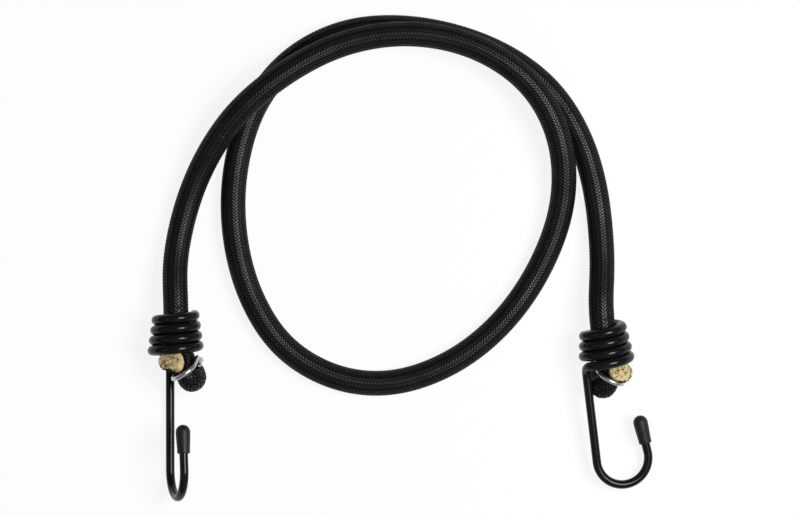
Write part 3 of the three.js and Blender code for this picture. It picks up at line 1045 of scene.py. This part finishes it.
class BUNGEE_OT_hooks(bpy.types.Operator):
    """Add the coiled wire hooks"""
    bl_idname = "bungee.hooks"
    bl_label = "Hooks"

    def execute(self, context):
        scene = context.scene
        hook, sizes = scene.bungee_hook, derived(scene)
        coating = coating_finish(hook)
        for side in SIDES:
            line, coil_length, _ = hook_line(scene, side, sizes)
            along, radii = rounded_rows(0, line.length, WIRE_STEP, sizes.wire_radius, hook.cut_edge)
            past_coil = np.clip((along - coil_length) / (COATING_FADE * hook.wire) + 0.5, 0, 1)
            radii = np.where(radii > 0, radii + hook.pile_up * (1 - past_coil), 0)
            piece = stitched(f"wire_hook_{side}", roll(line, along, radii, WIRE_SIDES))
            dress(piece, coating, f"{side}_hook", f"{side}_end")
        return {"FINISHED"}


class BUNGEE_OT_caps(bpy.types.Operator):
    """Add the rubber caps on the hooks' tips"""
    bl_idname = "bungee.caps"
    bl_label = "Tip caps"

    def execute(self, context):
        scene = context.scene
        hook, cap, sizes = scene.bungee_hook, scene.bungee_cap, derived(scene)
        rubber = cap_finish(cap)
        direction = arm_direction(hook)
        upright = direction.to_track_quat("Z", "Y").to_matrix().to_4x4()
        past_arm = scene.bungee_cord.fit_gap + cap.end_wall
        for side in SIDES:
            _, _, arm_end = hook_line(scene, side, sizes)
            bm = self.turned(scene, sizes)
            start = arm_end + direction * (past_arm - cap.length)
            place = hook_matrix(side, sizes) @ Matrix.Translation(start) @ upright
            bmesh.ops.transform(bm, matrix=place, verts=bm.verts)
            piece = stitched(f"cap_{side}", bm)
            dress(piece, rubber, f"{side}_hook_cap", f"{side}_end")
        return {"FINISHED"}

    def turned(self, scene, sizes):
        """A blind sleeve with a fuller rounded end, turned about +Z from its open end."""
        cap = scene.bungee_cap
        bore = sizes.wire_radius + scene.bungee_cord.fit_gap / 2
        dome = cap.length - cap.bulb / 2
        bottom = cap.length - cap.end_wall
        outline = [(0, bottom), (bore, bottom), (bore, 0), (cap.rim / 2, 0)]
        for t in shares(CAP_WALL_STEPS)[1:-1]:
            swell = 0.5 - 0.5 * math.cos(math.pi * t)
            outline.append(((cap.rim + (cap.bulb - cap.rim) * swell) / 2, dome * t))
        for t in shares(CAP_DOME_STEPS)[:-1]:
            turned = math.pi / 2 * t
            outline.append((cap.bulb / 2 * math.cos(turned), dome + cap.bulb / 2 * math.sin(turned)))
        outline.append((0, cap.length))
        bm = bmesh.new()
        verts = [bm.verts.new((x, 0, z)) for x, z in outline]
        edges = [bm.edges.new(pair) for pair in zip(verts, verts[1:])]
        bmesh.ops.spin(
            bm, geom=verts + edges, axis=UP, angle=2 * math.pi, steps=ROUND_SIDES, use_merge=True,
        )
        bmesh.ops.remove_doubles(bm, verts=bm.verts, dist=WELD)
        rim = [edge for edge in bm.edges if all(abs(vert.co.z) < WELD for vert in edge.verts)]
        bmesh.ops.bevel(
            bm, geom=rim, offset=cap.edge, affect="EDGES", segments=BEVEL_SEGMENTS, profile=0.5, material=-1,
        )
        bmesh.ops.recalc_face_normals(bm, faces=bm.faces)
        return bm


class BUNGEE_PT_panel(bpy.types.Panel):
    """Lists the pieces of the bungee cord"""
    bl_label = "Bungee Cord"
    bl_idname = "BUNGEE_PT_panel"
    bl_space_type = "VIEW_3D"
    bl_region_type = "UI"
    bl_category = "Bungee"

    def draw(self, context):
        for operator in OPERATORS:
            self.layout.operator(operator.bl_idname)


SETTINGS = {
    "bungee_cord": CordSettings,
    "bungee_hook": HookSettings,
    "bungee_ring": RingSettings,
    "bungee_cap": CapSettings,
    "bungee_stage": StageSettings,
}
OPERATORS = (
    BUNGEE_OT_stage,
    BUNGEE_OT_cord,
    BUNGEE_OT_folds,
    BUNGEE_OT_rings,
    BUNGEE_OT_hooks,
    BUNGEE_OT_caps,
)
CLASSES = (*SETTINGS.values(), *OPERATORS, BUNGEE_PT_panel)


def register():
    for cls in CLASSES:
        bpy.utils.register_class(cls)
    for name, group in SETTINGS.items():
        setattr(bpy.types.Scene, name, PointerProperty(type=group))


def unregister():
    for name in SETTINGS:
        delattr(bpy.types.Scene, name)
    for cls in reversed(CLASSES):
        bpy.utils.unregister_class(cls)


def main():
    register()
    bpy.ops.bungee.stage()
    bpy.ops.bungee.cord()
    bpy.ops.bungee.folds()
    bpy.ops.bungee.rings()
    bpy.ops.bungee.hooks()
    bpy.ops.bungee.caps()


if __name__ == "__main__":
    main()
